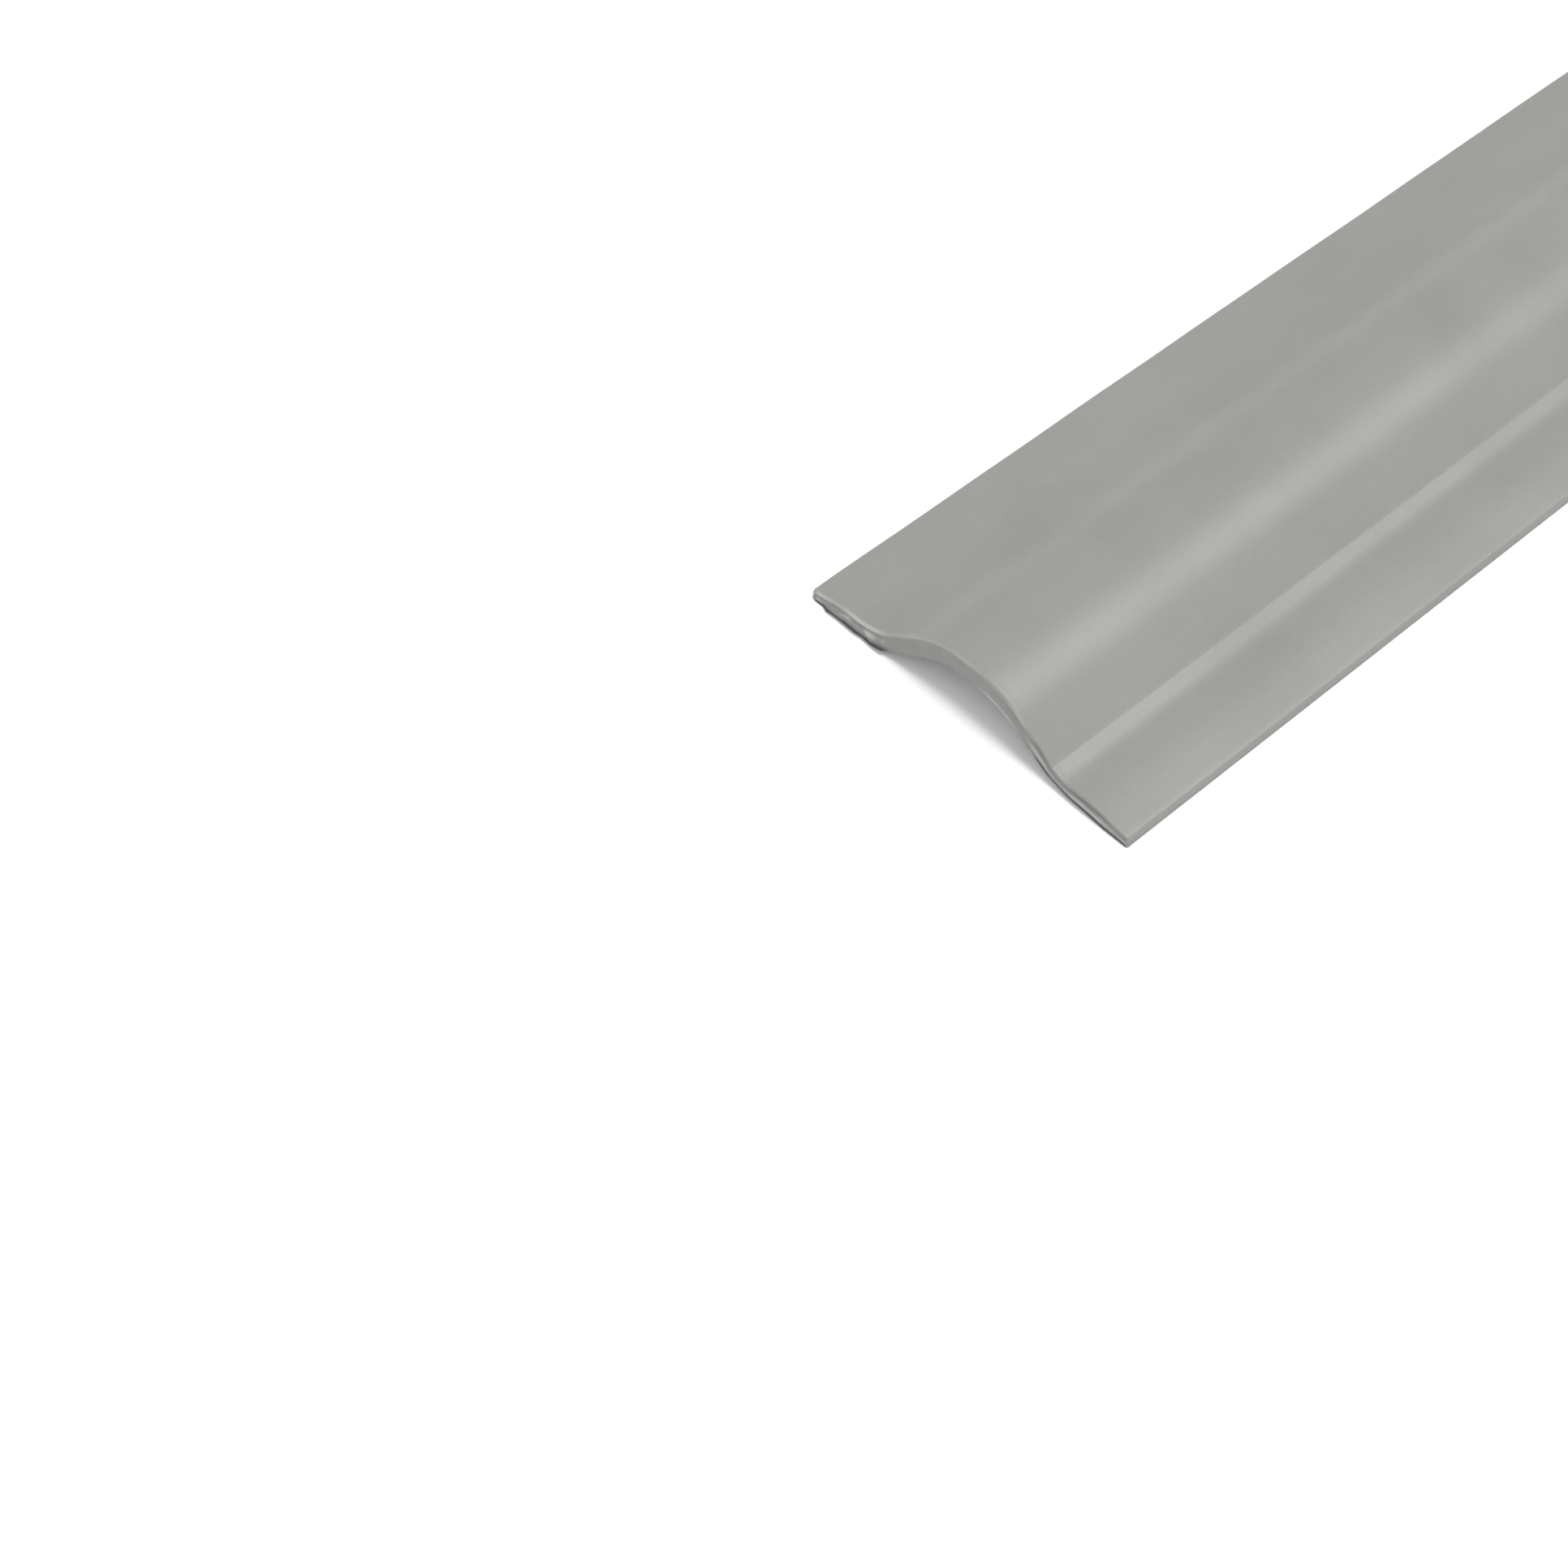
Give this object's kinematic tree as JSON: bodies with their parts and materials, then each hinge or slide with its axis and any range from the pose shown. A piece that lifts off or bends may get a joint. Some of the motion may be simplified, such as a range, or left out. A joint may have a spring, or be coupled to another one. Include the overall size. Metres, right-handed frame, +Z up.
{
  "type": "floor cord cover",
  "caption": "Straight strip of soft grey plastic with a rounded hump over an open-bottomed channel and a thin flange along each side, laid over a cord on the floor.",
  "frame": {"origin": "on the floor, at the middle of the strip's length and width", "axes": "+X runs along the strip, +Y across it, +Z up; the open channel faces the floor"},
  "size_m": [1, 0.038, 0.0071],
  "materials": {
    "grey_pvc": "satin"
  },
  "bodies": {
    "root": {"cord_cover": "grey_pvc"}
  },
  "joints": []
}
